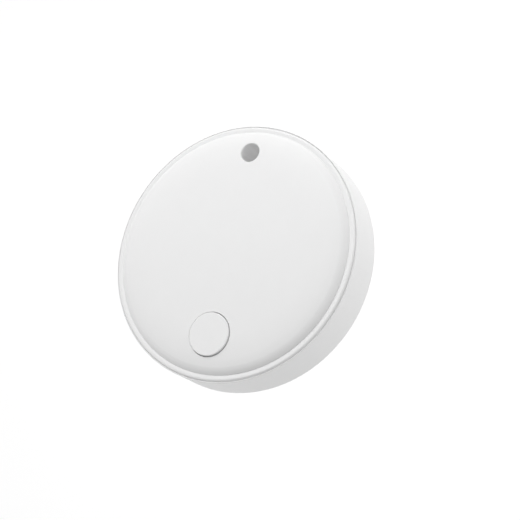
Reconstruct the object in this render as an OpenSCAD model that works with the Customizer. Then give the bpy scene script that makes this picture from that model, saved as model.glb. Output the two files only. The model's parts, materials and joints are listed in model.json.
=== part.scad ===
// Round tracker tag: a coin-shaped case with a domed front cover, a lanyard hole through it,
// a flush push button and a coin-cell door in the rear face.
// The tag lies on its rear face: +Z points out of the front, +Y points to the lanyard hole.

/* [Case] */
// Outer diameter of the case at its front lip
case_d = 39; // [38.5:0.5:41]
// How much the side wall's radius grows from the front lip to the rear edge
wall_flare = 0.2; // [0:0.05:0.3]
// Overall thickness at the middle of the dome
case_h = 7.9; // [7.8:0.05:8]
// Height of the front lip above the rear face
lip_h = 6.7; // [6.65:0.05:6.75]
// Thickness of the side wall
wall_t = 1.25; // [1.1:0.05:1.4]
// Radius of the rounded rear edge
rear_edge_r = 0.4; // [0.2:0.1:0.8]
// Radius of the rounded front lip
lip_edge_r = 0.08; // [0.05:0.01:0.1]

/* [Front cover] */
// Radius of the dome's nearly flat crown
crown_r = 12.8; // [12:0.1:13.4]
// Slope of the dome at the edge of the crown, in degrees
crown_slope = 0.75; // [0.5:0.05:1]
// Radius where the dome's gentle shoulder ends
shoulder_r = 16.2; // [15.8:0.1:16.6]
// Slope of the dome there, in degrees
shoulder_slope = 4.6; // [4:0.2:6]
// Radius where the dome's tight rolled edge begins
turn_r = 17.4; // [17:0.1:17.6]
// Slope of the dome there, in degrees
turn_slope = 12; // [10:0.5:14]
// Slope of the dome at its brim, in degrees
brim_slope = 45; // [40:1:48]
// Width of the brim, where the dome falls away to the crease
brim_w = 0.1; // [0.08:0.01:0.12]
// Slope of the dome where it meets the ring around it, in degrees
crease_slope = 65; // [55:1:70]
// Width of the ring around the dome
ring_w = 0.87; // [0.8:0.01:0.9]
// How far the ring rises from the crease to its top
ring_rise = 0.05; // [0.02:0.01:0.06]
// Radius of the rounded outer edge of the ring
ring_edge_r = 0.33; // [0.2:0.01:0.36]
// Width of the parting groove between cover and lip
groove_w = 0.07; // [0.05:0.01:0.08]
// Depth of the parting groove
groove_depth = 0.1; // [0.06:0.01:0.15]

/* [Lanyard hole] */
// Diameter of the lanyard hole
lanyard_d = 2.9; // [2.5:0.1:3]
// Distance of the lanyard hole from the middle of the tag
lanyard_r = 14.93; // [14.5:0.01:15]
// Radius of the rounded edge at both mouths of the lanyard hole
lanyard_edge_r = 0.3; // [0.1:0.05:0.4]

/* [Button] */
// Diameter of the button cap
button_d = 6.36; // [5.6:0.02:6.6]
// Distance of the button from the middle of the tag
button_r = 12.74; // [12.3:0.01:12.8]
// Radial gap between the button cap and its hole
button_gap = 0.1; // [0.1:0.01:0.2]
// Radius of the rounded edge of the button cap
button_edge_r = 0.12; // [0.05:0.01:0.12]
// Width of the bevel around the button's hole
button_bevel = 0.04; // [0.04:0.01:0.1]
// How far the button cap stands above the dome around it
button_rise = 0.2; // [0.1:0.02:0.2]

/* [Coin cell and door] */
// Diameter of the coin cell
cell_d = 20; // [19.8:0.1:20]
// Thickness of the coin cell
cell_h = 3.2; // [3:0.1:3.2]
// Diameter of the battery door
door_d = 23.8; // [23.6:0.1:24]
// Angle that the door turns between locked and open, in degrees
door_turn = 45; // [40:1:50]
// Length of the coin slot
slot_l = 12; // [9:0.5:14]
// Width of the coin slot
slot_w = 1.6; // [1.2:0.1:2.2]
// Depth of the coin slot
slot_depth = 0.5; // [0.3:0.05:0.55]

/* [Circuit board] */
// Thickness of the circuit board
board_t = 0.6; // [0.5:0.05:0.6]
// Diameter of the shank of the board screws
screw_d = 1.2; // [1:0.1:1.2]
// Distance of the board screws from the middle of the tag
screw_ring_r = 14.5; // [14.2:0.05:14.7]

/* [Hidden] */
$fn = 96;
eps = 0.01;

// Plan radii, from the outside in
case_r = case_d / 2;
lip_t = 0.13;
lip_in_r = case_r - lip_t;
flange_r = lip_in_r - groove_w;
crease_r = flange_r - ring_w;
brim_r = crease_r - brim_w;
seat_gap = 0.02;
lip_in_edge_r = 0.04;
wall_angle = atan(wall_flare / lip_h);
rear_c_r = case_r + wall_flare * (1 - rear_edge_r / lip_h) - rear_edge_r / cos(wall_angle);
lip_c_z = lip_h - lip_edge_r;
lip_c_r = case_r + wall_flare * lip_edge_r / lip_h - lip_edge_r / cos(wall_angle);
inner_r = case_r - wall_t;
skirt_out_r = inner_r - 0.1;
skirt_in_r = skirt_out_r - 0.65;
snap_bite = 0.15;
snap_bottom = 5.05;
snap_top = 5.45;
bore_r = lanyard_d / 2;
tube_r = bore_r + 0.85;
button_cap_r = button_d / 2;
button_hole_r = button_cap_r + button_gap;
button_flange_r = button_cap_r + 0.72;

// Heights, from the rear face up
floor_t = 1;
door_z = 0.05;
door_flange_top = 0.7;
door_plate_top = 1;
web_bottom = 0.95;
web_top = 1.6;
tab_bottom = web_top + 0.06;
tab_top = 2.3;
cell_z = door_plate_top + 0.1;
cell_top = cell_z + cell_h;
frame_top = cell_top + 0.1;
frame_flange_z = frame_top - 0.6;
board_z = cell_top + 0.3;
board_top = board_z + board_t;
ledge_z = lip_h - 0.85;
gasket_t = 0.2;
tube_top = lip_h - 0.7;
ceiling_z = case_h - 1.2;

// Dome: cone bands over the crown, then four arcs, each tangent to the one before it.
// An arc between two radii has its centre under the dome, at the place that its two slopes give.
function arc_r(r1, slope1, r2, slope2) = (r2 - r1) / (sin(slope2) - sin(slope1));
function arc_drop(arc, slope1, slope2) = arc * (cos(slope1) - cos(slope2));

crown_drop = 0.6 * crown_r * tan(crown_slope);
shoulder_arc = arc_r(crown_r, crown_slope, shoulder_r, shoulder_slope);
turn_arc = arc_r(shoulder_r, shoulder_slope, turn_r, turn_slope);
roll_arc = arc_r(turn_r, turn_slope, brim_r, brim_slope);
brim_arc = arc_r(brim_r, brim_slope, crease_r, crease_slope);
crown_z = case_h - crown_drop;
shoulder_z = crown_z - arc_drop(shoulder_arc, crown_slope, shoulder_slope);
turn_z = shoulder_z - arc_drop(turn_arc, shoulder_slope, turn_slope);
brim_z = turn_z - arc_drop(roll_arc, turn_slope, brim_slope);
crease_z = brim_z - arc_drop(brim_arc, brim_slope, crease_slope);
ring_top = crease_z + ring_rise;
shoulder_c_r = crown_r - shoulder_arc * sin(crown_slope);
shoulder_c_z = crown_z - shoulder_arc * cos(crown_slope);

// Height of the dome at a radius on its crown or its shoulder
function dome_z(r) = r < crown_r
    ? case_h - crown_drop * pow(r / crown_r, 2)
    : shoulder_c_z + sqrt(pow(shoulder_arc, 2) - pow(r - shoulder_c_r, 2));

// Tilt of the dome between two radii
function dome_tilt(r1, r2) = atan((dome_z(r1) - dome_z(r2)) / (r2 - r1));

// Battery door
door_r = door_d / 2;
recess_r = door_r + 0.1;
opening_r = recess_r - 1.1;
plug_r = opening_r - 0.1;
plug_in_r = plug_r - 0.45;
tab_r = plug_r + 0.7;
tab_span = 30;
notch_span = tab_span + 6;
tab_angles = [30, 150, 270];

// Circuit board and what is on it
board_r = skirt_in_r - 0.3;
screw_r = screw_d / 2;
screw_angles = [40, 140, 220, 320];
post_r = 1.6;
piezo_y = 2;
piezo_r = 7.5;
piezo_core_r = 5;
piezo_plate_t = 0.1;
piezo_bond_t = 0.1;
piezo_z = ceiling_z - piezo_bond_t - piezo_plate_t;
ceramic_z = piezo_z - 0.1;
switch_top = board_top + 0.54;
plunger_top = board_top + 0.78;
flange_z = plunger_top + 0.1;
button_top = dome_z(button_r) + button_rise;
button_tilt = dome_tilt(button_r - button_hole_r, button_r + button_hole_r);
button_hole_z = (dome_z(button_r - button_hole_r) + dome_z(button_r + button_hole_r)) / 2;

// The lanyard hole's mouth is tilted with the dome, and crosses the dome and the bore at clear angles
mouth_r = bore_r + lanyard_edge_r;
mouth_tilt = dome_tilt(lanyard_r - mouth_r, lanyard_r + mouth_r);
mouth_lift = 0.06;
mouth_inset = 0.02;
mouth_z = (dome_z(lanyard_r - mouth_r) + dome_z(lanyard_r + mouth_r)) / 2 + mouth_lift;

// ---------- shared shapes ----------

// Ring of rectangular section about the tag's axis
module ring(r_in, r_out, z_low, z_high) {
    rotate_extrude()
        translate([r_in, z_low])
            square([r_out - r_in, z_high - z_low]);
}

// Part of such a ring, centred on an angle
module ring_part(r_in, r_out, z_low, z_high, middle, span) {
    rotate([0, 0, middle - span / 2])
        rotate_extrude(angle = span)
            translate([r_in, z_low])
                square([r_out - r_in, z_high - z_low]);
}

// Puts children on a circle about the tag's axis
module around(radius, angles) {
    for (angle = angles)
        rotate([0, 0, angle])
            translate([radius, 0, 0])
                children();
}

// Solid cylinder between two heights
module disc(radius, z_low, z_high) {
    translate([0, 0, z_low])
        cylinder(r = radius, h = z_high - z_low);
}

// Block centred in plan, between two heights
module block(length, width, z_low, z_high) {
    translate([-length / 2, -width / 2, z_low])
        cube([length, width, z_high - z_low]);
}

// What a rounded mouth removes around a hole: the mouth is at z = 0, the hole goes down
module mouth_cutter(hole_r, edge_r) {
    rotate_extrude()
        difference() {
            translate([0, -edge_r])
                square([hole_r + edge_r, 2 * edge_r]);
            translate([hole_r + edge_r, -edge_r])
                circle(r = edge_r);
        }
}

// What a bevelled mouth removes around a hole: a cone that crosses both the hole and the face
module bevel_cutter(hole_r, bevel) {
    translate([0, 0, -3 * bevel])
        cylinder(r1 = hole_r - 2 * bevel, r2 = hole_r + 3 * bevel, h = 5 * bevel);
}

// What rounding an upper outer corner removes from a section: the corner is at the origin
module corner_cutter(edge_r) {
    difference() {
        translate([-edge_r, -edge_r])
            square([2 * edge_r, 2 * edge_r]);
        translate([-edge_r, -edge_r])
            circle(r = edge_r);
    }
}

// Column under one arc of the dome, between two radii
module arc_column(r1, slope1, z1, r2, slope2) {
    arc = arc_r(r1, slope1, r2, slope2);
    intersection() {
        translate([r1 - arc * sin(slope1), z1 - arc * cos(slope1)])
            circle(r = arc, $fn = 360);
        translate([r1 - eps, 0])
            square([r2 - r1 + eps, case_h]);
    }
}

// Section of the solid under the dome's outer surface, out to the crease
module dome_section() {
    union() {
        polygon(concat(
            [[0, 0], [crown_r, 0]],
            [for (step = [3 : -1 : 0]) [crown_r * step / 3, dome_z(crown_r * step / 3)]]
        ));
        arc_column(crown_r, crown_slope, crown_z, shoulder_r, shoulder_slope);
        arc_column(shoulder_r, shoulder_slope, shoulder_z, turn_r, turn_slope);
        arc_column(turn_r, turn_slope, turn_z, brim_r, brim_slope);
        arc_column(brim_r, brim_slope, brim_z, crease_r, crease_slope);
    }
}

// ---------- case ----------

// The side wall slants, so its two rounded edges are circles that touch the slanted line
module shell_section() {
    union() {
        polygon([
            [recess_r + 0.15, 0], [rear_c_r, 0], [rear_c_r, rear_edge_r],
            [rear_c_r + rear_edge_r * cos(wall_angle), rear_edge_r * (1 + sin(wall_angle))],
            [lip_c_r + lip_edge_r * cos(wall_angle), lip_c_z + lip_edge_r * sin(wall_angle)],
            [lip_c_r, lip_c_z], [lip_c_r, lip_h], [lip_in_r + lip_in_edge_r, lip_h],
            [lip_in_r + lip_in_edge_r, lip_h - lip_in_edge_r], [lip_in_r, lip_h - lip_in_edge_r],
            [lip_in_r, lip_h - groove_depth], [flange_r + seat_gap, lip_h - groove_depth],
            [flange_r + seat_gap, ledge_z], [inner_r, ledge_z],
            [inner_r, snap_top], [inner_r + 0.2, snap_top],
            [inner_r + 0.2, snap_bottom], [inner_r, snap_bottom],
            [inner_r, floor_t], [recess_r + 1.2, floor_t], [recess_r + 1.2, web_top],
            [opening_r, web_top], [opening_r, web_bottom], [recess_r, web_bottom],
            [recess_r, 0.15]
        ]);
        translate([rear_c_r, rear_edge_r])
            circle(r = rear_edge_r);
        translate([lip_c_r, lip_c_z])
            circle(r = lip_edge_r);
        translate([lip_in_r + lip_in_edge_r, lip_h - lip_in_edge_r])
            circle(r = lip_in_edge_r);
    }
}

// Walls that the door's tabs turn between, one at each end of the turn
module door_stops() {
    for (tab = tab_angles) {
        ring_part(opening_r + 0.05, tab_r + 0.05, web_top - eps, tab_top, tab + tab_span / 2 + 3, 4);
        ring_part(opening_r + 0.05, tab_r + 0.05, web_top - eps, tab_top,
            tab - door_turn - tab_span / 2 - 3, 4);
    }
}

module rear_shell() {
    color("white")
        difference() {
            union() {
                rotate_extrude()
                    shell_section();
                translate([0, lanyard_r, 0])
                    disc(tube_r, floor_t / 2, tube_top);
                around(screw_ring_r, screw_angles)
                    disc(post_r, floor_t / 2, frame_flange_z);
                door_stops();
            }
            translate([0, lanyard_r, 0]) {
                disc(bore_r, -1, tube_top + 1);
                mirror([0, 0, 1])
                    mouth_cutter(bore_r, lanyard_edge_r);
            }
            around(screw_ring_r, screw_angles)
                disc(screw_r + 0.02, 1.6, frame_flange_z + 1);
            for (tab = tab_angles)
                ring_part(opening_r - 0.5, tab_r + 0.1, web_bottom - 0.2, web_top + 0.2,
                    tab - door_turn, notch_span);
            for (mark = [0, -door_turn])
                around(recess_r + 1, [mark])
                    sphere(r = 0.35);
        }
}

// The cover's rim, and the ring on it: a gentle rise from the crease, a flat top, a rounded edge
module rim_section() {
    difference() {
        union() {
            translate([skirt_in_r, ledge_z + gasket_t])
                square([flange_r - skirt_in_r, crease_z - ledge_z - gasket_t]);
            polygon([
                [crease_r, crease_z - eps], [flange_r, crease_z - eps], [flange_r, ring_top],
                [crease_r + ring_w / 2, ring_top], [crease_r + ring_w / 3, crease_z + 0.8 * ring_rise],
                [crease_r, crease_z]
            ]);
        }
        translate([flange_r, ring_top])
            corner_cutter(ring_edge_r);
    }
}

// Half of the cover's section: dome, rim and the skirt that goes down inside the shell
module cover_section() {
    difference() {
        union() {
            dome_section();
            rim_section();
        }
        square([case_r, snap_bottom - 0.1]);
        translate([skirt_out_r, 0])
            square([case_r, ledge_z + gasket_t]);
        polygon([
            [0, 0], [skirt_in_r, 0], [skirt_in_r, ceiling_z - 0.4],
            [skirt_in_r - 0.7, ceiling_z], [0, ceiling_z]
        ]);
    }
}

module front_cover() {
    color("white")
        difference() {
            union() {
                rotate_extrude()
                    cover_section();
                around(0, [10 : 60 : 310])
                    ring_part(skirt_out_r - 0.2, skirt_out_r + snap_bite,
                        snap_bottom + 0.05, snap_top - 0.05, 0, 24);
                translate([0, lanyard_r, 0])
                    disc(tube_r, tube_top, ceiling_z + eps);
            }
            translate([0, lanyard_r, 0])
                disc(bore_r, 0, case_h + 1);
            translate([0, lanyard_r, mouth_z])
                rotate([-mouth_tilt, 0, 0])
                    mouth_cutter(bore_r - mouth_inset, lanyard_edge_r);
            translate([0, -button_r, 0])
                disc(button_hole_r, 0, case_h + 1);
            translate([0, -button_r, button_hole_z])
                rotate([button_tilt, 0, 0])
                    bevel_cutter(button_hole_r, button_bevel);
            translate([0, piezo_y, 0])
                disc(piezo_r - 1, ceiling_z - 1, ceiling_z + 0.15);
        }
}

module case_gasket() {
    color("dimgray")
        ring(inner_r + 0.2, flange_r - 0.05, ledge_z, ledge_z + gasket_t);
}

module inner_frame() {
    color("gainsboro")
        difference() {
            union() {
                rotate_extrude()
                    polygon([
                        [cell_d / 2 + 0.3, tab_top + 0.1], [tab_r + 0.25, tab_top + 0.1],
                        [tab_r + 0.25, web_top + 0.05], [tab_r + 1, web_top + 0.05],
                        [tab_r + 1, frame_flange_z], [board_r - 0.3, frame_flange_z],
                        [board_r - 0.3, frame_top], [cell_d / 2 + 0.3, frame_top]
                    ]);
                around(screw_ring_r, screw_angles)
                    disc(1.5, frame_top - eps, board_z);
            }
            around(screw_ring_r, screw_angles)
                disc(0.8, 0, board_z + 1);
            translate([0, lanyard_r, 0])
                disc(tube_r + 0.2, 0, board_z + 1);
        }
}

// ---------- button and switch ----------

// The flat cap stands a little above the dome; its flange stays under the cover
module button_cap() {
    color("white")
        translate([0, -button_r, 0])
            rotate_extrude()
                difference() {
                    polygon([
                        [0, plunger_top], [0.9, plunger_top], [0.9, flange_z], [1.4, flange_z],
                        [1.4, flange_z + 0.6], [2.5, flange_z + 0.6], [2.5, flange_z],
                        [button_flange_r, flange_z], [button_flange_r, ceiling_z - 0.06],
                        [button_cap_r, ceiling_z - 0.06], [button_cap_r, button_top],
                        [0, button_top]
                    ]);
                    translate([button_cap_r, button_top])
                        corner_cutter(button_edge_r);
                }
}

module button_return_ring() {
    color("silver")
        translate([0, -button_r, 0])
            ring(2.6, button_flange_r - 0.15, board_top, flange_z - eps);
}

module switch_base() {
    color("black")
        translate([0, -button_r, 0])
            difference() {
                block(3.6, 2.8, board_top, switch_top - 0.08);
                disc(1.15, board_top + 0.14, switch_top);
            }
}

module switch_dome() {
    color("silver")
        translate([0, -button_r, board_top])
            rotate_extrude()
                polygon([
                    [0, 0.3], [0, 0.36], [0.5, 0.31], [0.92, 0.22], [1.05, 0.16], [0.97, 0.15],
                    [0.88, 0.17], [0.48, 0.25]
                ]);
}

module switch_cover() {
    color("silver")
        translate([0, -button_r, 0])
            difference() {
                block(3.6, 2.8, switch_top - 0.08, switch_top);
                disc(0.62, board_top, switch_top + 1);
            }
}

module switch_plunger() {
    color("darkslategray")
        translate([0, -button_r, 0]) {
            disc(0.55, board_top + 0.37, plunger_top);
            disc(0.75, board_top + 0.37, board_top + 0.44);
        }
}

// ---------- circuit board ----------

module pcb() {
    color("darkgreen")
        difference() {
            disc(board_r, board_z, board_top);
            translate([0, lanyard_r, 0])
                disc(tube_r + 0.25, 0, case_h);
            translate([-tube_r - 0.25, lanyard_r, 0])
                cube([2 * tube_r + 0.5, tube_r + 3, case_h]);
            around(screw_ring_r, screw_angles)
                disc(0.8, 0, case_h);
        }
}

module pcb_screws() {
    color("silver")
        around(screw_ring_r, screw_angles)
            difference() {
                union() {
                    disc(screw_r, 1.9, board_top + eps);
                    disc(1.15, board_top, board_top + 0.35);
                    translate([0, 0, board_top + 0.35])
                        cylinder(r1 = 1.15, r2 = 0.8, h = 0.2);
                }
                block(1.2, 0.28, board_top + 0.25, board_top + 1);
                block(0.28, 1.2, board_top + 0.25, board_top + 1);
            }
}

module bluetooth_chip() {
    color("black")
        translate([-5.5, -3, 0])
            difference() {
                block(5, 5, board_top, board_top + 0.8);
                translate([-1.9, 1.9, 0])
                    disc(0.3, board_top + 0.75, board_top + 1);
            }
}

module crystal() {
    color("silver")
        translate([-11, -3, 0]) {
            block(1.6, 2, board_top, board_top + 0.35);
            block(1.4, 1.8, board_top + 0.34, board_top + 0.45);
        }
}

module chip_antenna() {
    color("ivory")
        translate([14.6, 0, 0])
            block(1.6, 3.2, board_top, board_top + 1);
}

// Two-terminal chip: a body between two solder ends
module smd_chip(length, width, height) {
    block(length, width - 0.06, board_top, board_top + height - 0.03);
    for (side = [-1, 1])
        translate([side * length * 0.38, 0, 0])
            block(length * 0.24, width, board_top, board_top + height);
}

module smd_capacitors() {
    color("tan") {
        for (row = [0 : 3])
            translate([-9.2 + row * 2.5, -8.2, 0])
                smd_chip(1, 0.55, 0.5);
        for (row = [0 : 3])
            translate([11.6, -3.2 + row * 1.9, 0])
                smd_chip(1, 0.55, 0.5);
    }
}

module smd_resistors() {
    color("black")
        for (row = [0 : 4])
            translate([4.6 + row * 1.1, -9.2, 0])
                rotate([0, 0, 90])
                    smd_chip(1, 0.5, 0.35);
}

module smd_inductor() {
    color("dimgray")
        translate([-10.4, 1.6, 0])
            smd_chip(2, 1.25, 0.9);
}

// ---------- sounder ----------

module piezo_adhesive() {
    color("khaki")
        translate([0, piezo_y, 0])
            ring(piezo_r - 1, piezo_r, ceiling_z - piezo_bond_t, ceiling_z);
}

module piezo_plate() {
    color("goldenrod")
        translate([0, piezo_y, 0])
            disc(piezo_r, piezo_z, piezo_z + piezo_plate_t);
}

module piezo_ceramic() {
    color("whitesmoke")
        translate([0, piezo_y, 0])
            disc(piezo_core_r, ceramic_z, piezo_z);
}

// Folded leaf spring from the board up to a given height
module contact_finger(top) {
    height = top - board_top;
    translate([0, 0.5, board_top])
        rotate([90, 0, 0])
            linear_extrude(height = 1)
                polygon([
                    [0, 0], [2, 0], [2, 0.12], [0.5, 0.12], [0.16, 0.36], [1.5, height - 0.12],
                    [1.9, height - 0.12], [1.9, height], [1.4, height], [0, 0.42]
                ]);
}

module piezo_contacts() {
    color("gold") {
        translate([0.6, piezo_y + 1, 0])
            contact_finger(ceramic_z);
        translate([4.6, piezo_y + 2, 0])
            contact_finger(piezo_z);
    }
}

// ---------- coin cell and contacts ----------

module battery_can() {
    r = cell_d / 2;
    color("silver")
        translate([0, 0, cell_z])
            rotate_extrude()
                polygon([
                    [0, 0], [r - 0.3, 0], [r - 0.08, 0.08], [r, 0.3], [r, cell_h - 0.5],
                    [r - 0.08, cell_h - 0.36], [r - 0.3, cell_h - 0.3], [r - 0.85, cell_h - 0.3],
                    [r - 0.85, cell_h - 0.5], [r - 0.25, cell_h - 0.6], [r - 0.25, 0.25], [0, 0.25]
                ]);
}

module battery_electrodes() {
    color("black")
        disc(cell_d / 2 - 1.65, cell_z + 0.3, cell_top - 0.3);
}

module battery_gasket() {
    r = cell_d / 2;
    color("black")
        translate([0, 0, cell_z])
            rotate_extrude()
                polygon([
                    [r - 1.1, 0.3], [r - 0.3, 0.3], [r - 0.3, cell_h - 0.65],
                    [r - 0.88, cell_h - 0.55], [r - 0.88, cell_h - 0.25], [r - 1.1, cell_h - 0.25]
                ]);
}

module battery_cap() {
    r = cell_d / 2;
    color("silver")
        translate([0, 0, cell_z])
            rotate_extrude()
                polygon([
                    [0, cell_h], [r - 1.5, cell_h], [r - 1.22, cell_h - 0.1],
                    [r - 1.15, cell_h - 0.35], [r - 1.15, 0.5], [r - 1.4, 0.5],
                    [r - 1.4, cell_h - 0.4], [r - 1.6, cell_h - 0.25], [0, cell_h - 0.25]
                ]);
}

module positive_contact() {
    leg_r = cell_d / 2 + 0.04;
    color("gold") {
        ring_part(leg_r, leg_r + 0.15, cell_z + 1.5, board_z, 180, 16);
        ring_part(leg_r, leg_r + 2.3, board_z - 0.15, board_z, 180, 26);
    }
}

module negative_contact() {
    color("gold")
        translate([0, 1.5, board_z])
            rotate([90, 0, 0])
                linear_extrude(height = 3)
                    polygon([
                        [-5, 0], [-5, -0.1], [-3, -0.1], [-0.4, -0.29], [0.4, -0.29], [3, -0.1],
                        [5, -0.1], [5, 0], [3.1, 0], [0.3, -0.19], [-0.3, -0.19], [-3.1, 0]
                    ]);
}

// ---------- battery door ----------

module battery_door() {
    coin_r = (pow(slot_l / 2, 2) + pow(slot_depth, 2)) / (2 * slot_depth);
    color("white")
        difference() {
            union() {
                rotate_extrude()
                    polygon([
                        [0, door_z], [door_r - 0.15, door_z], [door_r, door_z + 0.15],
                        [door_r, door_flange_top], [plug_r, door_flange_top], [plug_r, tab_top],
                        [plug_in_r, tab_top], [plug_in_r, door_plate_top], [0, door_plate_top]
                    ]);
                for (tab = tab_angles)
                    ring_part(plug_r - 0.1, tab_r, tab_bottom, tab_top, tab, tab_span);
            }
            translate([0, 0, door_z + slot_depth - coin_r])
                rotate([90, 0, 0])
                    cylinder(r = coin_r, h = slot_w, center = true, $fn = 360);
            around(door_r - 1, [0])
                translate([0, 0, door_z])
                    sphere(r = 0.35);
        }
}

module door_gasket() {
    color("dimgray")
        ring(plug_r + 0.2, door_r - 0.15, door_flange_top, web_bottom - eps);
}

rear_shell();
front_cover();
case_gasket();
inner_frame();
button_cap();
button_return_ring();
switch_base();
switch_dome();
switch_cover();
switch_plunger();
pcb();
pcb_screws();
bluetooth_chip();
crystal();
chip_antenna();
smd_capacitors();
smd_resistors();
smd_inductor();
piezo_adhesive();
piezo_plate();
piezo_ceramic();
piezo_contacts();
battery_can();
battery_electrodes();
battery_gasket();
battery_cap();
positive_contact();
negative_contact();
battery_door();
door_gasket();
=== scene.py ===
import json
import math

import bmesh
import bpy
from mathutils import Matrix, Vector


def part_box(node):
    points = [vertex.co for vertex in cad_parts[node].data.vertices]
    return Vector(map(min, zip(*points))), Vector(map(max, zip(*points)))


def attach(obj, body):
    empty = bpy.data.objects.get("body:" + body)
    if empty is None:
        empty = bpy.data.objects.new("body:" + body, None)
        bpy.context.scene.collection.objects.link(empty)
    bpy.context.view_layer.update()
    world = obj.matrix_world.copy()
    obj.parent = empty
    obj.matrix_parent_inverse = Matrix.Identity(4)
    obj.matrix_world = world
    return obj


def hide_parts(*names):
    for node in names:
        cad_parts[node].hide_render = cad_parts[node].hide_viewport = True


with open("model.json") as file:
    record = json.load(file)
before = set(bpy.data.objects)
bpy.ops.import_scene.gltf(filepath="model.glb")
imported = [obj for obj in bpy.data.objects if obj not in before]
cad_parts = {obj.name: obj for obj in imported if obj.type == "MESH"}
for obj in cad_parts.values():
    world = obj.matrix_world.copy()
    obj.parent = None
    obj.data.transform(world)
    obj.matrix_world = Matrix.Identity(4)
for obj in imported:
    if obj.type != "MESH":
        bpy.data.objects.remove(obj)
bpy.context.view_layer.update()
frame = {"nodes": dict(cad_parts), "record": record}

MM = 0.001
UM = 1e-6

# ---------- sizes taken from the frame ----------

LIP_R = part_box("front_cover")[1].x + 0.2 * MM
LIP_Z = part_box("rear_shell")[1].z + 0.1 * MM
BOARD_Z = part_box("pcb")[1].z

# ---------- camera ----------

CAMERA_TILT = math.radians(32.78)       # between the tag's front axis and the line of sight
CAMERA_SIDE = math.radians(-23.72)      # where the camera stands round the tag, from +X
CAMERA_ROLL = math.radians(-57.16)
CAMERA_LENS = 81.13                     # on a sensor 36 mm wide
CAMERA_DISTANCE = 8.73 * LIP_R
AIM_RIGHT = 0.2134 * LIP_R              # the tag sits left of the middle and a little above it
AIM_DOWN = 0.0686 * LIP_R


def camera_axes():
    """Right, up and towards-the-camera directions of the main view."""
    toward = Vector((
        math.sin(CAMERA_TILT) * math.cos(CAMERA_SIDE),
        math.sin(CAMERA_TILT) * math.sin(CAMERA_SIDE),
        math.cos(CAMERA_TILT),
    ))
    level = Vector((0, 0, 1)).cross(toward).normalized()
    rise = toward.cross(level)
    right = math.cos(CAMERA_ROLL) * level + math.sin(CAMERA_ROLL) * rise
    up = math.cos(CAMERA_ROLL) * rise - math.sin(CAMERA_ROLL) * level
    return right, up, toward


def aim(obj, place, target, up):
    """Puts a camera or light at a place, looking at a target."""
    back = (place - target).normalized()
    right = up.cross(back).normalized()
    turn = Matrix((right, back.cross(right), back)).transposed()
    obj.matrix_world = Matrix.Translation(place) @ turn.to_4x4()


def make_camera():
    right, up, toward = camera_axes()
    middle = Vector((0, 0, LIP_Z))
    data = bpy.data.cameras.new("camera")
    data.lens = CAMERA_LENS
    data.sensor_width = 36
    data.clip_start = 0.01
    data.clip_end = 20
    camera = bpy.data.objects.new("camera", data)
    bpy.context.scene.collection.objects.link(camera)
    target = middle + right * AIM_RIGHT - up * AIM_DOWN
    aim(camera, middle + toward * CAMERA_DISTANCE, target, up)
    bpy.context.scene.camera = camera


# ---------- stage and light ----------

LIGHTS = [
    # name, elevation and azimuth in degrees, watts
    ("top", 60, 120, 0.52),
    ("key_left", 40, 150, 0.27),
    ("key_right", 40, 120, 0.33),
    ("side_near", 3, 30, 0.38),
    ("side_far", 3, 90, 0.22),
]
LIGHT_DISTANCE = 0.45                   # in metres
LIGHT_R = 0.15
ROOM_LIGHT = 0.415
WALL_LIGHT = 0.1                        # added on the side of the room towards +Y
FLOOR_GLOW = 0.385
FLOOR_DROP = 0.25                       # below the tag, in metres
FLOOR_HALF = 6


def direction(elevation, azimuth):
    """Unit vector from the tag: elevation above its rear face, azimuth from +X towards +Y."""
    up, turn = math.radians(elevation), math.radians(azimuth)
    return Vector((math.cos(up) * math.cos(turn), math.cos(up) * math.sin(turn), math.sin(up)))


def make_light(name, elevation, azimuth, watts):
    """A large round soft box that faces the tag."""
    data = bpy.data.lights.new(name, "AREA")
    data.shape = "DISK"
    data.size = 2 * LIGHT_R
    data.energy = watts
    light = bpy.data.objects.new(name, data)
    bpy.context.scene.collection.objects.link(light)
    middle = Vector((0, 0, LIP_Z / 2))
    place = middle + direction(elevation, azimuth) * LIGHT_DISTANCE
    aim(light, place, middle, Vector((0, 0, 1)))


def make_world():
    """A white room that grows brighter towards its +Y side."""
    world = bpy.data.worlds.new("studio")
    bpy.context.scene.world = world
    world.use_nodes = True
    tree = world.node_tree
    background = tree.nodes["Background"]
    background.inputs["Color"].default_value = (1, 1, 1, 1)
    coordinates = add(tree, "ShaderNodeTexCoord")
    split = add(tree, "ShaderNodeSeparateXYZ")
    tree.links.new(coordinates.outputs["Generated"], split.inputs["Vector"])
    light = spread(tree, split.outputs["Y"], ROOM_LIGHT, ROOM_LIGHT + WALL_LIGHT, -1, 1)
    tree.links.new(light, background.inputs["Strength"])


def make_floor():
    """A wide white floor well below the tag, lit a little from within."""
    mesh = bpy.data.meshes.new("floor")
    sides = [(-1, -1), (1, -1), (1, 1), (-1, 1)]
    corners = [(x * FLOOR_HALF, y * FLOOR_HALF, -FLOOR_DROP) for x, y in sides]
    mesh.from_pydata(corners, [], [(0, 1, 2, 3)])
    floor = bpy.data.objects.new("floor", mesh)
    bpy.context.scene.collection.objects.link(floor)
    material = bpy.data.materials.new("floor_white")
    material.use_nodes = True
    bsdf = material.node_tree.nodes["Principled BSDF"]
    bsdf.inputs["Base Color"].default_value = (0.85, 0.85, 0.85, 1)
    bsdf.inputs["Roughness"].default_value = 1
    bsdf.inputs["Emission Color"].default_value = (1, 1, 1, 1)
    bsdf.inputs["Emission Strength"].default_value = FLOOR_GLOW
    mesh.materials.append(material)


# ---------- materials: shared steps ----------

def add(tree, kind, **settings):
    node = tree.nodes.new(kind)
    for key, value in settings.items():
        setattr(node, key, value)
    return node


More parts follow.
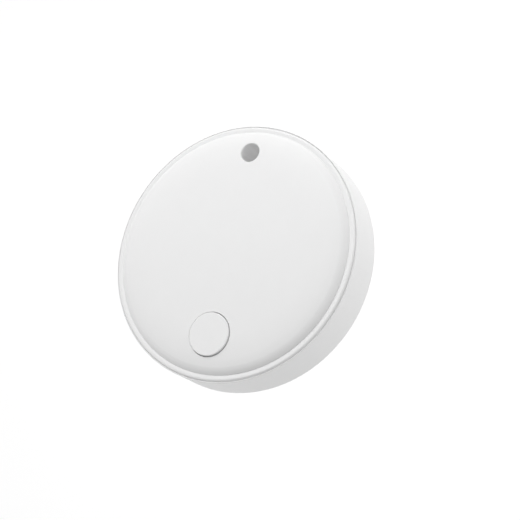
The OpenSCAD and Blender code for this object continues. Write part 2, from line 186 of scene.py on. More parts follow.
def spread(tree, value, low, high, start=0.3, end=0.7):
    """Maps the useful part of a pattern to a range."""
    node = add(tree, "ShaderNodeMapRange")
    node.inputs["From Min"].default_value = start
    node.inputs["From Max"].default_value = end
    node.inputs["To Min"].default_value = low
    node.inputs["To Max"].default_value = high
    tree.links.new(value, node.inputs["Value"])
    return node.outputs["Result"]


def shade(color, factor):
    return tuple(min(1, channel * factor) for channel in color)


class Surface:
    """A material with fine grain, slightly uneven gloss and slightly uneven colour."""

    def __init__(self, name, color, roughness, grain, depth,
                 metallic=0, tone=0.03, uneven=0.04, stretch=(1, 1, 1)):
        self.material = bpy.data.materials.new(name)
        self.material.use_nodes = True
        self.tree = self.material.node_tree
        self.bsdf = self.tree.nodes["Principled BSDF"]
        self.color = None
        self.relief = None
        self.set("Metallic", metallic)
        patches = self.spread(self.noise(25 * grain, 3, stretch), 0, 1)
        self.tint(patches, shade(color, 1 + tone), shade(color, 1 - tone))
        gloss = self.noise(6 * grain, 2, stretch)
        self.link(self.spread(gloss, roughness - uneven, roughness + uneven), "Roughness")
        self.press(self.noise(grain, 2, stretch), depth)

    def set(self, socket, value):
        self.bsdf.inputs[socket].default_value = value

    def link(self, output, socket):
        self.tree.links.new(output, self.bsdf.inputs[socket])

    def glow_through(self, weight, reach):
        """Lets light pass a short way into the material."""
        self.set("Subsurface Weight", weight)
        self.set("Subsurface Scale", reach)

    def pattern(self, kind, size, stretch=(1, 1, 1), **settings):
        """A pattern in the object's own coordinates, drawn out along the axes of low stretch."""
        node = add(self.tree, kind, **settings)
        node.inputs["Scale"].default_value = 1 / size
        coordinates = add(self.tree, "ShaderNodeTexCoord")
        mapping = add(self.tree, "ShaderNodeMapping")
        mapping.inputs["Scale"].default_value = stretch
        self.tree.links.new(coordinates.outputs["Object"], mapping.inputs["Vector"])
        self.tree.links.new(mapping.outputs["Vector"], node.inputs["Vector"])
        return node

    def noise(self, size, detail=2.0, stretch=(1, 1, 1)):
        """Soft random pattern whose patches are about a size across."""
        node = self.pattern("ShaderNodeTexNoise", size, stretch)
        node.inputs["Detail"].default_value = detail
        return node.outputs["Fac"]

    def cells(self, size):
        """Pattern of small rounded cells."""
        return self.pattern("ShaderNodeTexVoronoi", size, feature="F1").outputs["Distance"]

    def spread(self, value, low, high, start=0.3, end=0.7):
        """Maps the useful part of a pattern to a range, inside this material."""
        return spread(self.tree, value, low, high, start, end)

    def tint(self, amount, color, under=(0, 0, 0)):
        """Mixes a colour in by a pattern, over what was there before or, at first, a plain colour."""
        mix = add(self.tree, "ShaderNodeMix", data_type="RGBA")
        mix.inputs["A"].default_value = (*under, 1)
        mix.inputs["B"].default_value = (*color, 1)
        self.tree.links.new(amount, mix.inputs["Factor"])
        if self.color:
            self.tree.links.new(self.color, mix.inputs["A"])
        self.color = mix.outputs["Result"]
        self.link(self.color, "Base Color")

    def press(self, height, depth):
        """Adds a relief of a depth in metres to the shading, over the relief there was before."""
        node = add(self.tree, "ShaderNodeBump")
        node.inputs["Distance"].default_value = depth
        self.tree.links.new(height, node.inputs["Height"])
        if self.relief:
            self.tree.links.new(self.relief, node.inputs["Normal"])
        self.relief = node.outputs["Normal"]
        self.link(self.relief, "Normal")


def brushed(name, color, roughness, grain, depth, tone=0.05):
    """Metal brushed along its X axis."""
    return Surface(
        name, color, roughness, grain, depth,
        metallic=1, tone=tone, uneven=0.08, stretch=(0.04, 1, 1))


def plated(name, color, roughness, grain, depth):
    """Smooth plated metal with a slightly mottled tone."""
    return Surface(name, color, roughness, grain, depth, metallic=1, tone=0.06, uneven=0.06)


def ceramic(name, color, roughness, tone):
    """Fired ceramic: sugary grain under a thin gloss."""
    surface = Surface(name, color, roughness, 25 * UM, 2 * UM, tone=tone)
    surface.press(surface.cells(70 * UM), 2 * UM)
    return surface


# ---------- materials: one function each ----------

WHITE = (0.91, 0.91, 0.91)


def case_plastic():
    """White moulded plastic with a fine spark-eroded texture."""
    surface = Surface("case_plastic", WHITE, 0.42, 90 * UM, 1.2 * UM, tone=0.004)
    surface.press(surface.cells(160 * UM), 0.8 * UM)
    return surface


def button_plastic():
    """The button's plastic: the same white, polished a little smoother."""
    return Surface("button_plastic", WHITE, 0.38, 70 * UM, 0.8 * UM, tone=0.004)


def seal_rubber():
    """Dark soft rubber with a powdery bloom."""
    surface = Surface("seal_rubber", (0.035, 0.035, 0.038), 0.72, 60 * UM, 3 * UM, tone=0.15)
    bloom = surface.spread(surface.noise(0.7 * MM, 4), 0, 0.5, 0.5, 0.8)
    surface.tint(bloom, (0.11, 0.11, 0.11))
    return surface


def silicone():
    """Milky silicone with light passing into it."""
    surface = Surface("silicone", (0.66, 0.66, 0.64), 0.55, 80 * UM, 2 * UM)
    surface.glow_through(0.3, 0.6 * MM)
    return surface


def frame_plastic():
    """Grey-white nylon with the faint streaks that the melt leaves as it flows."""
    surface = Surface("frame_plastic", (0.6, 0.6, 0.59), 0.55, 120 * UM, 3 * UM)
    streaks = surface.noise(1.5 * MM, 3, (1, 0.15, 1))
    surface.tint(surface.spread(streaks, 0, 0.35), (0.68, 0.68, 0.66))
    return surface


def switch_plastic():
    """Black glass-filled nylon, with short fibres showing in its skin."""
    surface = Surface("switch_plastic", (0.02, 0.02, 0.021), 0.5, 50 * UM, 3 * UM, tone=0.1)
    fibres = surface.noise(90 * UM, 1, (1, 0.1, 1))
    surface.tint(surface.spread(fibres, 0, 0.5, 0.62, 0.75), (0.09, 0.09, 0.09))
    return surface


def steel_sheet():
    """Rolled stainless steel."""
    return brushed("steel_sheet", (0.62, 0.61, 0.6), 0.3, 25 * UM, 0.8 * UM)


def cell_steel():
    """Nickel-plated steel of the coin cell, satin, with a few handling marks."""
    surface = brushed("cell_steel", (0.66, 0.65, 0.62), 0.27, 35 * UM, 0.7 * UM, tone=0.03)
    marks = surface.noise(2 * MM, 5, (1, 0.3, 1))
    surface.tint(surface.spread(marks, 0, 0.4, 0.55, 0.75), (0.5, 0.49, 0.47))
    return surface


def crystal_can():
    """Drawn nickel-silver lid."""
    return brushed("crystal_can", (0.68, 0.66, 0.6), 0.24, 30 * UM, 0.6 * UM)


def screw_steel():
    """Zinc-plated steel with a crystalline bloom."""
    surface = Surface(
        "screw_steel", (0.55, 0.56, 0.58), 0.32, 40 * UM, 1.5 * UM,
        metallic=1, tone=0.06, uneven=0.08)
    surface.press(surface.cells(120 * UM), 2 * UM)
    return surface


def gold_spring():
    """Gold-plated spring metal."""
    return plated("gold_spring", (0.83, 0.6, 0.24), 0.22, 60 * UM, 0.8 * UM)


def brass_sheet():
    """Brass disc, rolled, a little dulled."""
    surface = brushed("brass_sheet", (0.72, 0.5, 0.2), 0.32, 30 * UM, 0.8 * UM)
    dull = surface.spread(surface.noise(1.2 * MM, 4), 0, 0.5, 0.45, 0.75)
    surface.tint(dull, (0.42, 0.27, 0.1))
    return surface


def piezo_silver():
    """Silver paint fired on to the ceramic: matte, with a screen-printed weave."""
    surface = plated("piezo_silver", (0.8, 0.79, 0.76), 0.45, 50 * UM, 3 * UM)
    surface.press(surface.cells(110 * UM), 3 * UM)
    return surface


def solder():
    """Bright tin with the frosty patches of a cooled joint."""
    surface = plated("solder", (0.74, 0.74, 0.75), 0.26, 40 * UM, 1.5 * UM)
    frost = surface.spread(surface.noise(150 * UM, 3), 0, 0.6, 0.5, 0.7)
    surface.tint(frost, (0.5, 0.5, 0.52))
    return surface


def pad_gold():
    """Thin gold over the board's bare copper."""
    return plated("pad_gold", (0.86, 0.62, 0.27), 0.28, 35 * UM, 1.2 * UM)


def board():
    """Glass-fibre board under green solder mask: the weave shows faintly through the mask."""
    surface = Surface("board", (0.012, 0.1, 0.035), 0.28, 70 * UM, 1.5 * UM, tone=0.08)
    for stretch in ((0.08, 1, 1), (1, 0.08, 1)):
        threads = surface.noise(0.4 * MM, 1, stretch)
        surface.tint(surface.spread(threads, 0, 0.5), (0.022, 0.15, 0.055))
        surface.press(threads, 4 * UM)
    surface.set("Coat Weight", 0.4)
    surface.set("Coat Roughness", 0.15)
    return surface


def mask_over_copper():
    """Solder mask where copper lies under it: lighter and yellower."""
    return Surface("mask_over_copper", (0.035, 0.22, 0.06), 0.26, 40 * UM, 1 * UM, tone=0.08)


def chip_epoxy():
    """Black moulding compound: matte, with tiny filler grains."""
    surface = Surface("chip_epoxy", (0.018, 0.018, 0.02), 0.62, 30 * UM, 3 * UM, tone=0.2)
    specks = surface.spread(surface.cells(60 * UM), 0.5, 0, 0.05, 0.2)
    surface.tint(specks, (0.07, 0.07, 0.07))
    return surface


def antenna_ceramic():
    return ceramic("antenna_ceramic", (0.72, 0.7, 0.62), 0.4, 0.04)


def capacitor_ceramic():
    return ceramic("capacitor_ceramic", (0.34, 0.22, 0.12), 0.38, 0.08)


def resistor_body():
    return ceramic("resistor_body", (0.03, 0.03, 0.032), 0.35, 0.15)


def ferrite():
    """Dark grey sintered ferrite with open pores."""
    surface = Surface("ferrite", (0.06, 0.06, 0.062), 0.65, 40 * UM, 5 * UM, tone=0.15)
    surface.press(surface.spread(surface.cells(130 * UM), 0, 1, 0, 0.25), 8 * UM)
    return surface


def adhesive():
    """Soft amber glue with flow waves."""
    surface = Surface("adhesive", (0.55, 0.45, 0.24), 0.4, 200 * UM, 6 * UM, tone=0.08)
    surface.glow_through(0.3, 0.3 * MM)
    surface.press(surface.noise(1.2 * MM, 1), 25 * UM)
    return surface


def cell_fill():
    """Pressed black cathode powder."""
    surface = Surface("cell_fill", (0.02, 0.02, 0.022), 0.85, 45 * UM, 8 * UM, tone=0.3)
    surface.press(surface.cells(150 * UM), 10 * UM)
    return surface


def cell_seal():
    """Smooth dark polypropylene."""
    return Surface("cell_seal", (0.03, 0.03, 0.03), 0.42, 100 * UM, 2 * UM, tone=0.1)


def grey_ink():
    """Grey ink printed on the door."""
    return Surface("grey_ink", (0.35, 0.35, 0.36), 0.55, 30 * UM, 2 * UM, tone=0.05)


def legend_ink():
    """White screen-printed ink, slightly rough at its edges."""
    return Surface("legend_ink", (0.78, 0.78, 0.75), 0.6, 30 * UM, 2 * UM, tone=0.05)


# ---------- pieces: shared steps ----------

def solids(node):
    """Lowest and highest corner of each separate solid in a CAD node, in order along X, then Y."""
    mesh = frame["nodes"][node].data
    places = {}
    spots = [tuple(round(value, 6) for value in vertex.co) for vertex in mesh.vertices]
    points = [places.setdefault(spot, len(places)) for spot in spots]
    group = list(range(len(places)))

    def leader(index):
        while group[index] != index:
            index = group[index]
        return index

    for face in mesh.polygons:
        first = leader(points[face.vertices[0]])
        for corner in face.vertices[1:]:
            group[leader(points[corner])] = first
    members = {}
    for place, index in places.items():
        members.setdefault(leader(index), []).append(place)
    boxes = []
    for corners in members.values():
        low = Vector([min(c[axis] for c in corners) for axis in range(3)])
        high = Vector([max(c[axis] for c in corners) for axis in range(3)])
        boxes.append((low, high))
    return sorted(boxes, key=lambda box: (round(box[0].x, 5), box[0].y))


def join_loops(bm, loops):
    """Closed skin over a stack of equally long loops, each running anticlockwise from above."""
    rings = [[bm.verts.new(point) for point in loop] for loop in loops]
    for lower, upper in zip(rings, rings[1:]):
        for i in range(len(lower)):
            j = (i + 1) % len(lower)
            bm.faces.new((lower[i], lower[j], upper[j], upper[i]))
    bm.faces.new(list(reversed(rings[0])))
    bm.faces.new(rings[-1])


def round_rectangle(x_low, x_high, y_low, y_high, corner, z, steps=3):
    """Anticlockwise outline of a rectangle with rounded corners."""
    corner = min(corner, (x_high - x_low) / 2.01, (y_high - y_low) / 2.01)
    middles = (
        (x_high - corner, y_high - corner, 0), (x_low + corner, y_high - corner, 90),
        (x_low + corner, y_low + corner, 180), (x_high - corner, y_low + corner, 270),
    )
    return [
        (x + corner * math.cos(math.radians(start + 90 * step / steps)),
         y + corner * math.sin(math.radians(start + 90 * step / steps)), z)
        for x, y, start in middles
        for step in range(steps + 1)
    ]


def circle_loop(x, y, radius, z, steps):
    return [
        (x + radius * math.cos(2 * math.pi * step / steps),
         y + radius * math.sin(2 * math.pi * step / steps), z)
        for step in range(steps)
    ]


def make_piece(name, bm, surface, body="case"):
    """Turns a mesh in the making into a piece that rides on a body of the tag."""
    mesh = bpy.data.meshes.new(name)
    bmesh.ops.recalc_face_normals(bm, faces=bm.faces)
    bm.to_mesh(mesh)
    bm.free()
    mesh.materials.append(surface.material)
    mesh.shade_smooth()
    mesh.set_sharp_from_angle(angle=math.radians(35))
    piece = bpy.data.objects.new(name, mesh)
    bpy.context.scene.collection.objects.link(piece)
    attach(piece, body)
    return piece


def ribbon(bm, points, width, z, height):
    """A flat track with bevelled sides along a line of points."""
    apart = [a for a, b in zip(points, points[1:]) if math.dist(a, b) > 0.01 * MM]
    points = apart + [points[-1]]
    sections = []
    for i, point in enumerate(points):
        before = Vector(points[max(i - 1, 0)])
        after = Vector(points[min(i + 1, len(points) - 1)])
        here = Vector(point)
        ahead = (after - here).normalized() if i < len(points) - 1 else (here - before).normalized()
        behind = (here - before).normalized() if i > 0 else ahead
        along = (ahead + behind).normalized()
        side = Vector((-along.y, along.x)) / max(along.dot(ahead), 0.5)
        section = []
        for across, up in ((-0.5, 0), (-0.38, 1), (0.38, 1), (0.5, 0)):
            spot = here + side * width * across
            section.append(bm.verts.new((spot.x, spot.y, z + height * up)))
        sections.append(section)
    for first, second in zip(sections, sections[1:]):
        for i in range(4):
            j = (i + 1) % 4
            bm.faces.new((first[i], first[j], second[j], second[i]))
    bm.faces.new(list(reversed(sections[0])))
    bm.faces.new(sections[-1])


# ---------- pieces on the circuit board ----------

PAD_H = 0.03 * MM
TRACK_H = 0.02 * MM
TRACK_W = 0.16 * MM
TRACK_GAP = 0.2 * MM                    # from the side of a part to the start of its track
PAD_ROW_Y = 6 * MM
LEAD_PITCH = 0.5 * MM                   # of the flat chip
LEAD_INSET = 0.6 * MM                   # from its corners to its first leads


def pad_spots():
    """Places along X of the row of test pads."""
    return [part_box("bluetooth_chip")[0].x + 1.3 * MM * i for i in range(5)]


def solder_foot(bm, box, flare, height, lap=0.012 * MM):
    """A terminal with solder run up it: wide and thin at the board, drawn in to the metal above."""
    x_low, x_high, y_low, y_high = box
    z = BOARD_Z
    loops = []
    for step in range(7):
        rise = step / 6
        out = [lap + reach * (1 - rise) ** 2.4 for reach in flare]
        loops.append(round_rectangle(
            x_low - out[0], x_high + out[1], y_low - out[2], y_high + out[3],
            0.05 * MM, z + 0.8 * height * rise))
    bevel = 0.035 * MM
    top = z + height + lap
    for inset, corner, level in ((0, 0.05 * MM, top - bevel), (bevel, 0.03 * MM, top)):
        grown = lap - inset
        loops.append(round_rectangle(
            x_low - grown, x_high + grown, y_low - grown, y_high + grown, corner, level))
    join_loops(bm, loops)


def chip_ends(bm, node, share):
    """The two soldered metal ends of every chip in a node."""
    for low, high in solids(node):
        size = high - low
        height = size.z
        run = 0.28 * MM
        side = 0.05 * MM
        if size.x > size.y:
            end = share * size.x
            solder_foot(bm, (low.x, low.x + end, low.y, high.y), (run, 0, side, side), height)
            solder_foot(bm, (high.x - end, high.x, low.y, high.y), (0, run, side, side), height)
        else:
            end = share * size.y
            solder_foot(bm, (low.x, high.x, low.y, low.y + end), (side, side, run, 0), height)
            solder_foot(bm, (low.x, high.x, high.y - end, high.y), (side, side, 0, run), height)


def side_spots(low, high, pitch, inset):
    """Evenly spaced places along one side of a part, about its middle."""
    count = int((high - low - 2 * inset) / pitch) + 1
    start = (low + high) / 2 - pitch * (count - 1) / 2
    return [start + pitch * i for i in range(count)]


def lead_feet(bm, node):
    """Solder at the edge pads round a flat chip."""
    low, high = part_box(node)
    half = 0.12 * MM
    run = 0.2 * MM
    deep = 0.02 * MM
    up = 0.28 * MM
    for x in side_spots(low.x, high.x, LEAD_PITCH, LEAD_INSET):
        solder_foot(bm, (x - half, x + half, low.y - deep, low.y + deep), (0, 0, run, 0), up)
        solder_foot(bm, (x - half, x + half, high.y - deep, high.y + deep), (0, 0, 0, run), up)
    for y in side_spots(low.y, high.y, LEAD_PITCH, LEAD_INSET):
        solder_foot(bm, (low.x - deep, low.x + deep, y - half, y + half), (run, 0, 0, 0), up)
        solder_foot(bm, (high.x - deep, high.x + deep, y - half, y + half), (0, run, 0, 0), up)


def corner_feet(bm, node, half, up):
    """Solder at the four corners of a part."""
    low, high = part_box(node)
    run = 0.18 * MM
    deep = 0.02 * MM
    for y in (low.y + 1.8 * half, high.y - 1.8 * half):
        for x, left, right in ((low.x, run, 0), (high.x, 0, run)):
            foot = (x - deep, x + deep, y - half, y + half)
            solder_foot(bm, foot, (left, right, 0.03 * MM, 0.03 * MM), up)


def finger_feet(bm):
    """Solder round the flat foot of each spring finger."""
    run = 0.2 * MM
    for low, high in solids("piezo_contacts"):
        foot = (low.x + 0.6 * MM, high.x, low.y, high.y)
        solder_foot(bm, foot, (0, run, run, run), 0.09 * MM, 0.004 * MM)


def solder_joints(surface):
    bm = bmesh.new()
    chip_ends(bm, "smd_capacitors", 0.25)
    chip_ends(bm, "smd_resistors", 0.25)
    chip_ends(bm, "smd_inductor", 0.25)
    chip_ends(bm, "chip_antenna", 0.12)
    lead_feet(bm, "bluetooth_chip")
    corner_feet(bm, "crystal", 0.25 * MM, 0.2 * MM)
    corner_feet(bm, "switch_base", 0.35 * MM, 0.3 * MM)
    finger_feet(bm)
    make_piece("solder_joints", bm, surface)


def pad(bm, x_low, x_high, y_low, y_high):
    """A flat pad with a bevelled edge."""
    bevel = 0.01 * MM
    loops = []
    for inset, level in ((0, 0), (0, PAD_H - bevel), (bevel, PAD_H)):
        loops.append(round_rectangle(
            x_low + inset, x_high - inset, y_low + inset, y_high - inset,
            0.06 * MM, BOARD_Z + level))
    join_loops(bm, loops)


def turned(bm, x, y, profile, steps):
    """A round boss on the board, from a profile of radii and heights in millimetres."""
    join_loops(bm, [circle_loop(x, y, r * MM, BOARD_Z + z * MM, steps) for r, z in profile])


def gold_pads(surface):
    """Bare gilt pads: test points in a row, and a strip at each soldered part's two ends."""
    bm = bmesh.new()
    reach = 0.42 * MM
    half = 0.14 * MM
    for node in ("smd_capacitors", "smd_resistors", "smd_inductor", "chip_antenna"):
        for low, high in solids(node):
            middle = (low + high) / 2
            size = high - low
            if size.x > size.y:
                wide = size.y / 2 + 0.1 * MM
                pad(bm, low.x - reach, low.x + half, middle.y - wide, middle.y + wide)
                pad(bm, high.x - half, high.x + reach, middle.y - wide, middle.y + wide)
            else:
                wide = size.x / 2 + 0.1 * MM
                pad(bm, middle.x - wide, middle.x + wide, low.y - reach, low.y + half)
                pad(bm, middle.x - wide, middle.x + wide, high.y - half, high.y + reach)
    for x in pad_spots():
        turned(bm, x, PAD_ROW_Y, ((0.45, 0), (0.45, 0.02), (0.43, 0.03)), 32)
    make_piece("gold_pads", bm, surface)


def dogleg(start, end, lead, upright=False):
    """A track's route: straight out of the start, one diagonal, then straight on to the end."""
    (a1, b1), (a2, b2) = (start[::-1], end[::-1]) if upright else (start, end)
    way = math.copysign(1, a2 - a1)
    first = a1 + way * lead
    points = [(a1, b1), (first, b1), (first + way * abs(b2 - b1), b2), (a2, b2)]
    return [point[::-1] for point in points] if upright else points


def elbow(start, end, cut=0.5 * MM):
    """A track's route along X and then along Y, with its corner cut."""
    (x1, y1), (x2, y2) = start, end
    before = x2 - math.copysign(cut, x2 - x1)
    after = y1 + math.copysign(cut, y2 - y1)
    return [(x1, y1), (before, y1), (x2, after), (x2, y2)]


def east_routes(x, rows):
    """Tracks from the chip's +X side to the column of capacitors and the row of resistors."""
    routes = []
    column = [box for box in solids("smd_capacitors") if box[0].x > 0]
    column = sorted(column, key=lambda box: box[0].y)[1:]
    for y, (low, high), lead in zip(rows[5:], column, (7.1, 6.3, 5.5)):
        end = (low.x - 0.3 * MM, (low.y + high.y) / 2)
        routes.append(dogleg((x, y), end, lead * MM))
    for y, (low, high) in zip(rows[:4], solids("smd_resistors")):
        routes.append(elbow((x, y), ((low.x + high.x) / 2, high.y + 0.3 * MM)))
    return routes


def south_routes(y, columns):
    """Tracks from the chip's -Y side to the capacitors under it."""
    routes = []
    under = [box for box in solids("smd_capacitors") if box[0].x < 0]
    for column, box, side in zip((0, 2, 6, 7), under, (1, 1, 1, 0)):
        end = (box[side].x + (0.12 - 0.24 * side) * MM, box[1].y + 0.05 * MM)
        routes.append(dogleg((columns[column], y), end, 0.45 * MM, upright=True))
    return routes


def north_routes(y, columns):
    """Tracks from the chip's +Y side to the test pads."""
    return [
        dogleg((columns[column], y), (x, PAD_ROW_Y - 0.4 * MM), 2 * MM, upright=True)
        for column, x in zip((0, 2, 3, 5, 7), pad_spots())
    ]


def west_routes(x, rows):
    """Tracks from the chip's -X side to the crystal and the inductor."""
    routes = []
    low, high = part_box("crystal")
    for y, share in zip(rows[1:3], (0.25, 0.75)):
        end = (high.x + 0.15 * MM, low.y + share * (high.y - low.y))
        routes.append(dogleg((x, y), end, 0.6 * MM))
    low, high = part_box("smd_inductor")
    routes.append(elbow((x, rows[-1]), (high.x + TRACK_GAP, (low.y + high.y) / 2)))
    return routes


def chip_routes():
    """Tracks from the flat chip's four sides to the parts round it."""
    low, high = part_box("bluetooth_chip")
    rows = side_spots(low.y, high.y, LEAD_PITCH, LEAD_INSET)
    columns = side_spots(low.x, high.x, LEAD_PITCH, LEAD_INSET)
    routes = east_routes(high.x + TRACK_GAP, rows)
    routes += south_routes(low.y - TRACK_GAP, columns)
    routes += north_routes(high.y + TRACK_GAP, columns)
    routes += west_routes(low.x - TRACK_GAP, rows)
    return routes


def via_routes():
    """Tracks that end in a plated hole."""
    routes = []
    for low, high in solids("smd_resistors"):
        x = (low.x + high.x) / 2
        routes.append([(x, low.y - TRACK_GAP), (x, low.y - 1.1 * MM)])
    low, high = solids("smd_resistors")[-1]
    x = (low.x + high.x) / 2
    routes.append([(x, high.y + TRACK_GAP), (x, high.y + 2 * MM)])
    for low, high in solids("smd_capacitors"):
        y = (low.y + high.y) / 2
        if low.x > 0:
            routes.append([(high.x + TRACK_GAP, y), (high.x + 0.85 * MM, y)])
        else:
            x = low.x + 0.12 * MM
            routes.append([(x, low.y - 0.05 * MM), (x, low.y - 0.9 * MM)])
    for low, high in solids("piezo_contacts"):
        y = (low.y + high.y) / 2
        routes.append([(high.x + TRACK_GAP, y), (high.x + 1.1 * MM, y)])
    low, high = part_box("switch_base")
    for x, way in ((low.x, -1), (high.x, 1)):
        start = (x + way * TRACK_GAP, high.y - 0.63 * MM)
        routes.append(dogleg(start, (x + way * 2 * MM, high.y + 0.2 * MM), 0.4 * MM))
    return routes


def board_tracks(surface):
    """Copper tracks that stand up a little under the solder mask."""
    bm = bmesh.new()
    for route in chip_routes() + via_routes():
        ribbon(bm, route, TRACK_W, BOARD_Z, TRACK_H)
    make_piece("board_tracks", bm, surface)


def via(bm, x, y):
    """A small plated hole with a raised rim."""
    turned(bm, x, y, ((0.2, 0), (0.2, 0.015), (0.17, 0.03), (0.11, 0.03), (0.09, 0.01)), 20)


def board_vias(surface):
    """Plated holes at the ends of tracks, and in a stitched row just inside the board's edge."""
    bm = bmesh.new()
    for route in via_routes():
        via(bm, *route[-1])
    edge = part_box("pcb")[1].x - 0.6 * MM
    screws = [
        math.degrees(math.atan2(low.y + high.y, low.x + high.x))
        for low, high in solids("pcb_screws")
    ]
    for step in range(72):
        degrees = 5 * step - 177.5
        near_tube = abs(degrees - 90) < 22          # the lanyard hole's tube is at 90 degrees
        near_screw = any(abs(degrees - spot) < 9 for spot in screws)
        if not near_tube and not near_screw:
            angle = math.radians(degrees)
            via(bm, edge * math.cos(angle), edge * math.sin(angle))
    make_piece("board_vias", bm, surface)


def board_legend(surface):
    """White printed corner marks round each part, with no lettering."""
    bm = bmesh.new()
    gap = 0.42 * MM
    arm = 0.5 * MM
    for node in ("bluetooth_chip", "crystal", "switch_base", "smd_inductor"):
        low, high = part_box(node)
        for x, turn_x in ((low.x - gap, 1), (high.x + gap, -1)):
            for y, turn_y in ((low.y - gap, 1), (high.y + gap, -1)):
                points = [(x + turn_x * arm, y), (x, y), (x, y + turn_y * arm)]
                ribbon(bm, points, 0.12 * MM, BOARD_Z, 0.012 * MM)
    low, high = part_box("bluetooth_chip")
    x, y = low.x - 0.75 * MM, high.y + 0.1 * MM
    turned(bm, x, y, ((0.16, 0), (0.15, 0.012)), 24)
    make_piece("board_legend", bm, surface)


def antenna_line(surface):
    """Silver line folded to and fro over the aerial's ceramic block."""
    low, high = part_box("chip_antenna")
    bm = bmesh.new()
    left, right = low.x + 0.25 * MM, high.x - 0.25 * MM
    first, last = low.y + 0.55 * MM, high.y - 0.55 * MM
    turns = 5
    points = [(left, low.y + 0.1 * MM)]
    for i in range(turns + 1):
        y = first + (last - first) * i / turns
        ends = (left, right) if i % 2 == 0 else (right, left)
        points += [(ends[0], y), (ends[1], y)]
    points.append((points[-1][0], high.y - 0.1 * MM))
    ribbon(bm, points, 0.14 * MM, high.z, 0.012 * MM)
    make_piece("antenna_line", bm, surface)


# ---------- screws, cell and door ----------

def thread_loop(x, y, core, crest, z, pitch, steps):
    """A ring of points on a screw thread: the radius swings once a pitch, and follows the angle."""
    loop = []
    for step in range(steps):
        turn = step / steps
        phase = (z / pitch - turn) % 1
        ridge = max(0, 1 - abs(phase - 0.5) / 0.32)
        radius = core + (crest - core) * ridge
        turn *= 2 * math.pi
        loop.append((x + radius * math.cos(turn), y + radius * math.sin(turn), z))
    return loop


def cross_loop(x, y, length, width, z, steps):
    """Outline of a cross recess, by direction from its middle."""
    loop = []
    for step in range(steps):
        angle = 2 * math.pi * step / steps
        a, b = max(abs(math.cos(angle)), 1e-6), max(abs(math.sin(angle)), 1e-6)
        radius = max(min(length / a, width / b), min(width / a, length / b))
        loop.append((x + radius * math.cos(angle), y + radius * math.sin(angle), z))
    return loop


def screw(bm, low, high):
    """A pan-head screw with a cross recess and a rolled thread."""
    x, y = (low.x + high.x) / 2, (low.y + high.y) / 2
    head_r = (high.x - low.x) / 2
    shank_r = 0.59 * MM
    head_z = BOARD_Z + 0.004 * MM
    pitch = 0.42 * MM
    steps = 48
    tip = 0.5 * MM
    loops = [circle_loop(x, y, 0.1 * MM, low.z, steps)]
    rings = int((head_z - low.z - 0.1 * MM) / pitch * 8)
    for i in range(rings):
        z = low.z + 0.02 * MM + i * pitch / 8
        taper = min(1, 0.35 + 0.65 * (z - low.z) / tip)
        loops.append(thread_loop(x, y, 0.43 * MM * taper, shank_r * taper, z, pitch, steps))
    neck = ((0.45 * MM, head_z - 0.03 * MM), (0.5 * MM, head_z), (head_r - 0.05 * MM, head_z))
    loops += [circle_loop(x, y, radius, z, steps) for radius, z in neck]
    top = high.z
    rim_z = head_z + 0.05 * MM
    for turn in range(0, 91, 15):
        angle = math.radians(turn)
        radius = head_r - 0.35 * MM * (1 - math.cos(angle))
        height = rim_z + (top - rim_z) * math.sin(angle)
        loops.append(circle_loop(x, y, radius, height, steps))
    recess = ((0.62, 0.16, 0), (0.6, 0.14, 0.02), (0.42, 0.1, 0.3), (0.1, 0.08, 0.36))
    for length, width, down in recess:
        loops.append(cross_loop(x, y, length * MM, width * MM, top - down * MM, steps))
    join_loops(bm, loops)


def board_screws(surface):
    bm = bmesh.new()
    for low, high in solids("pcb_screws"):
        screw(bm, low, high)
    piece = make_piece("board_screws", bm, surface)
    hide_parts("pcb_screws")


def cell_mark(surface):
    """The plus that is pressed into the cell's outer face."""
    face_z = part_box("battery_can")[0].z
    bm = bmesh.new()
    steps = 96
    join_loops(bm, [
        cross_loop(0, 0, 1.9 * MM, 0.36 * MM, face_z - 0.03 * MM, steps),
        cross_loop(0, 0, 2 * MM, 0.45 * MM, face_z, steps),
    ])
    make_piece("cell_plus_mark", bm, surface)


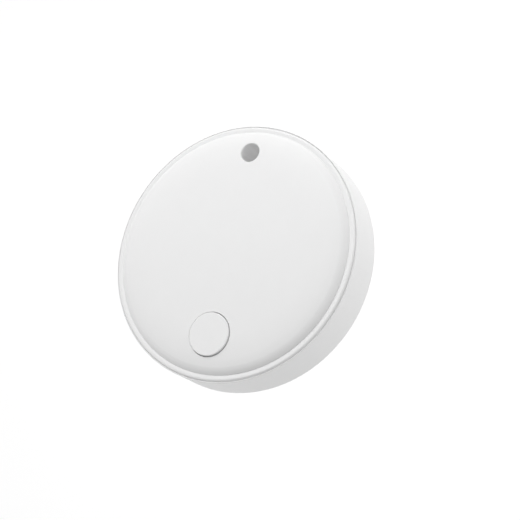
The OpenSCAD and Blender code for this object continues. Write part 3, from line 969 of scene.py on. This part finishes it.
def door_arrow(surface):
    """A raised curved arrow on the door: the way it turns to open."""
    low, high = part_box("battery_door")
    radius = 0.78 * high.x
    head_turn, tail_turn = 206, 246
    bm = bmesh.new()
    turns = [math.radians(degrees) for degrees in range(head_turn, tail_turn + 1, 2)]
    bend = [(radius * math.cos(turn), radius * math.sin(turn)) for turn in turns]
    ribbon(bm, bend, 0.6 * MM, low.z, -0.03 * MM)
    root = direction(0, head_turn + 1).xy
    tip = direction(0, head_turn - 9).xy * radius
    corners = [root * (radius - 0.95 * MM), tip, root * (radius + 0.95 * MM)]
    middle = sum(corners, Vector((0, 0))) / 3
    loops = []
    for shrink, raised in ((0.9, 0.04 * MM), (1, 0)):
        outline = [middle + (corner - middle) * shrink for corner in corners]
        loops.append([(*corner, low.z - raised) for corner in outline])
    join_loops(bm, loops)
    make_piece("door_arrow", bm, surface, "door")


# ---------- the whole scene ----------

SURFACES = [
    case_plastic, button_plastic, seal_rubber, silicone, frame_plastic, switch_plastic,
    steel_sheet, board, screw_steel, chip_epoxy, crystal_can, antenna_ceramic,
    capacitor_ceramic, resistor_body, ferrite, adhesive, brass_sheet, piezo_silver,
    gold_spring, cell_steel, cell_fill, cell_seal,
]


def paint_nodes(surfaces):
    """Gives each CAD node the material of its slot in the record."""
    for subpart in frame["record"]["subparts"]:
        mesh = frame["nodes"][subpart["node"]].data
        mesh.materials.clear()
        mesh.materials.append(surfaces[subpart["material_slot"]].material)


def add_pieces(surfaces):
    solder_joints(solder())
    gold_pads(pad_gold())
    board_tracks(mask_over_copper())
    board_vias(surfaces["gold_spring"])
    board_legend(legend_ink())
    antenna_line(surfaces["piezo_silver"])
    board_screws(surfaces["screw_steel"])
    cell_mark(surfaces["cell_steel"])
    door_arrow(grey_ink())


def main():
    make_camera()
    make_world()
    make_floor()
    for light in LIGHTS:
        make_light(*light)
    surfaces = {surface.__name__: surface() for surface in SURFACES}
    paint_nodes(surfaces)
    add_pieces(surfaces)
    bpy.context.scene.view_settings.view_transform = "Standard"


main()
